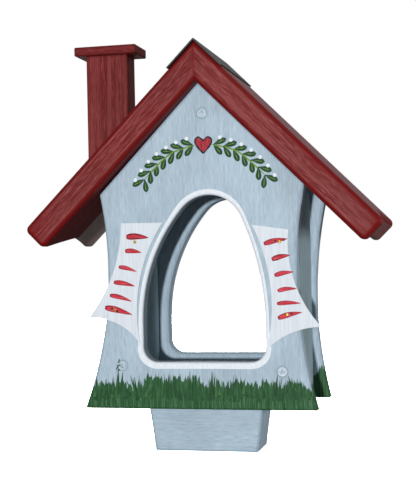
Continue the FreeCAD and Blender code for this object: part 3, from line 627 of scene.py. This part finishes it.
def leaf_arch(dark_green, light_green, white):
    """Leaf pairs with a berry beside each outer leaf, the same on both sides of the top."""
    leaves, lights, stems, berries = [], [], [], []
    last = FIRST_PAIR + (LEAF_PAIRS - 1) * PAIR_STEP
    for side in (-1, 1):
        stems.append(stroke([on_arch(side * turn) for turn in (FIRST_PAIR - 2, last / 2, last)], even(0.8)))
        for number in range(LEAF_PAIRS):
            turn = side * (FIRST_PAIR + number * PAIR_STEP)
            base = on_arch(turn)
            for rise in (-LEAF_RISE, LEAF_RISE):
                tip = on_arch(turn + side * LEAF_REACH, rise)
                leaves.append(stroke([base, tip], leaf_width(LEAF_HALF)))
                lights.append(stroke([base.lerp(tip, 0.2), base.lerp(tip, 0.85)], leaf_width(0.35)))
            berries.append(disc(on_arch(turn + side * PAIR_STEP / 2, LEAF_RISE), BERRY_RADIUS))
    paint_layer("arch_leaves", leaves, FRONT, 0.10, dark_green, spread=0.03)
    paint_layer("arch_leaf_lights", lights, FRONT, 0.15, light_green)
    paint_layer("arch_stems", stems, FRONT, 0.12, light_green)
    paint_layer("arch_berries", berries, FRONT, 0.24, white)


def heart(black, red):
    """A plain heart at the top of the arch, with a dark outline."""
    middle = on_arch(0)
    right = [middle + Vector(point) for point in HEART_HALF]
    left = [middle + Vector((-across, up)) for across, up in HEART_HALF]
    paint_layer("heart", [outline(right, left[::-1])], FRONT, 0.12, red)
    lines = [stroke(run, sketchy(0.8, number)) for number, run in enumerate((right, left))]
    paint_layer("heart_line", lines, FRONT, 0.19, black)


# Each curtain stroke runs from its blunt end to its point; the last value is its half width.
LEFT_STROKES = [
    ((-77.5, 220), (-54.2, 218.8), 3.3), ((-79, 205.8), (-61.9, 204), 2.5),
    ((-86, 190), (-67.4, 185), 2.2), ((-91.6, 174.6), (-69.3, 170.4), 2.5),
    ((-96, 161.6), (-73.1, 155.2), 2.4), ((-101.4, 149.2), (-73, 141.8), 3.2),
]
RIGHT_STROKES = [
    ((63, 210), (86.6, 214.5), 2.7), ((70.5, 194.6), (88.6, 198.5), 2.7),
    ((72.9, 179), (91.6, 182.2), 2.4), ((75.6, 164), (94.5, 166), 2.2),
    ((74.8, 151.4), (98.2, 151.6), 2.2), ((75.4, 137.3), (99.2, 142.9), 2.7),
]
# The numbers, counted through both curtains, of the strokes with only a narrow bright middle.
DARK_STROKES = (0, 7)
# Small dark dabs near the pins.
PIN_DOTS = [(-94, 148.2), (-88.6, 145.4), (74.6, 212.8), (82.6, 213.4), (83.6, 140.6), (88.8, 141.4)]


def curtain_strokes(carmine, dark_red, black):
    """The gathers of each curtain, one fat stroke each, dark round a brighter middle."""
    edges, middles = [], []
    for number, (start, end, half) in enumerate(LEFT_STROKES + RIGHT_STROKES):
        start, end = Vector(start), Vector(end)
        rise = Vector((0, 0.9))
        line = [start, start.lerp(end, 0.45) + rise, end]
        edges.append(stroke(line, drop_width(half)))
        inner = [start.lerp(end, 0.06), start.lerp(end, 0.45) + rise, start.lerp(end, 0.97)]
        share = 0.45 if number in DARK_STROKES else 0.72
        middles.append(stroke(inner, drop_width(half * share)))
    paint_layer("curtain_stroke_edges", edges, CURTAIN, 0.10, dark_red)
    paint_layer("curtain_strokes", middles, CURTAIN, 0.16, carmine)
    dots = [disc(dot, 1.1, 9) for dot in PIN_DOTS]
    paint_layer("curtain_dots", dots, CURTAIN, 0.22, black)


def smears(green):
    """Green brushed by accident over the left foot screw."""
    lines = [[(-91, 86), (-89.4, 90), (-86.4, 91.4)], [(-90, 84.8), (-87, 86.6)], [(-88.5, 93), (-87.6, 97)]]
    paint_layer("screw_smears", [stroke(line, even(0.6)) for line in lines], FRONT, 0.08, green)


def decorate():
    """Mixes the paints and puts all the painted decoration on the house."""
    black = brushed_paint("black_line_paint", rgb(10, 18, 22), rgb(18, 28, 32), rgb(50, 60, 66))
    heart_red = brushed_paint("heart_red_paint", rgb(124, 20, 32), rgb(164, 38, 52), rgb(190, 70, 82))
    dark_green = brushed_paint("leaf_green_paint", rgb(12, 44, 26), rgb(22, 64, 38), rgb(48, 94, 52))
    light_green = brushed_paint("stem_green_paint", rgb(74, 116, 30), rgb(104, 146, 42), rgb(146, 176, 74))
    white = brushed_paint("white_line_paint", rgb(214, 222, 231), rgb(222, 229, 236), rgb(230, 235, 240),
                          thin=0.98)
    carmine = brushed_paint("carmine_paint", rgb(176, 30, 48), rgb(202, 46, 64), rgb(222, 98, 112), LEVEL)
    dark_red = brushed_paint("dark_red_paint", rgb(104, 20, 26), rgb(142, 28, 36), rgb(176, 52, 60), LEVEL)
    blade_green = grass_paint()
    white_band(white)
    grass_blades("front_grass", "front_panel", FRONT, 190, blade_green)
    grass_blades("rear_grass", "rear_panel", REAR, 170, blade_green)
    leaf_arch(dark_green, light_green, white)
    heart(black, heart_red)
    curtain_strokes(carmine, dark_red, black)
    smears(dark_green)


# ---------------------------------------------------------------- studio

def stage_floor():
    """A plain pale floor under the house. It sends little light back up to the undersides."""
    size = 8.0
    bounce, seen_white = grey(0.3), grey(10.0)
    data = bpy.data.meshes.new("studio_floor")
    corners = [(-size, -size, 0), (size, -size, 0), (size, size, 0), (-size, size, 0)]
    data.from_pydata(corners, [], [(0, 1, 2, 3)])
    floor = bpy.data.objects.new("studio_floor", data)
    bpy.context.scene.collection.objects.link(floor)
    material, tree, shader = new_material("studio_floor_paint")
    seen = add(tree, "ShaderNodeLightPath", {}).outputs["Is Camera Ray"]
    matt = add(tree, "ShaderNodeBsdfDiffuse", {"Color": blend(tree, seen, bounce, seen_white)})
    tree.links.new(matt.outputs["BSDF"], tree.nodes["Material Output"].inputs["Surface"])
    tree.nodes.remove(shader)
    data.materials.append(material)


def studio_world():
    """Soft light from all round, on a white ground."""
    world = bpy.data.worlds.new("studio")
    bpy.context.scene.world = world
    world.use_nodes = True
    tree = world.node_tree
    ground = tree.nodes["Background"]
    path = add(tree, "ShaderNodeLightPath", {})
    ambient, reflected, backdrop = grey(0.13), grey(0.34), grey(1.0)
    mirrored = blend(tree, path.outputs["Is Glossy Ray"], ambient, reflected)
    tree.links.new(blend(tree, path.outputs["Is Camera Ray"], mirrored, backdrop), ground.inputs["Color"])


def softbox(name, place, aim, size, power):
    """A round soft light, size metres across, pointed at aim."""
    data = bpy.data.lights.new(name, "AREA")
    data.shape = "DISK"
    data.size = size
    data.energy = power
    light = bpy.data.objects.new(name, data)
    light.location = place
    light.rotation_euler = (Vector(aim) - Vector(place)).to_track_quat("-Z", "Y").to_euler()
    bpy.context.scene.collection.objects.link(light)


def lights():
    """A small level key a little left of the camera, and weak fills on the right, above and behind."""
    house = Vector((0.0, 0.0, 0.22))
    bearing, distance, rise = math.radians(4.4), 2.6, 0.015
    key = house + distance * Vector((math.sin(bearing), -math.cos(bearing), rise))
    softbox("key", key, house, 0.1, 58.5)
    softbox("fill", (1.5, 0.25, 0.2), (0.0, 0.0, 0.18), 0.5, 9)
    softbox("top", (0.2, 1.0, 2.4), house, 1.4, 14)
    softbox("back", (-1.0, 2.2, 0.6), house, 1.0, 12)


def camera():
    """Level with the middle of the house, from the right of its front, a little turned."""
    azimuth, elevation, roll = (math.radians(angle) for angle in (13.42, -0.14, -1.2))
    aim = Vector((0.0066, FRONT_FACE, 0.2057))
    distance = 1.0878
    back = Vector((math.sin(azimuth) * math.cos(elevation), -math.cos(azimuth) * math.cos(elevation),
                   math.sin(elevation)))
    level = Vector((math.cos(azimuth), math.sin(azimuth), 0))
    rise = back.cross(level)
    right = level * math.cos(roll) + rise * math.sin(roll)
    up = rise * math.cos(roll) - level * math.sin(roll)
    pose = Matrix((right, up, back)).transposed().to_4x4()
    pose.translation = aim + back * distance
    data = bpy.data.cameras.new("camera")
    data.sensor_width = 36.0
    data.lens = 79.3
    view = bpy.data.objects.new("camera", data)
    view.matrix_world = pose
    bpy.context.scene.collection.objects.link(view)
    bpy.context.scene.camera = view


bpy.context.scene.view_settings.view_transform = "Standard"
finish_nodes()
decorate()
stage_floor()
studio_world()
lights()
camera()
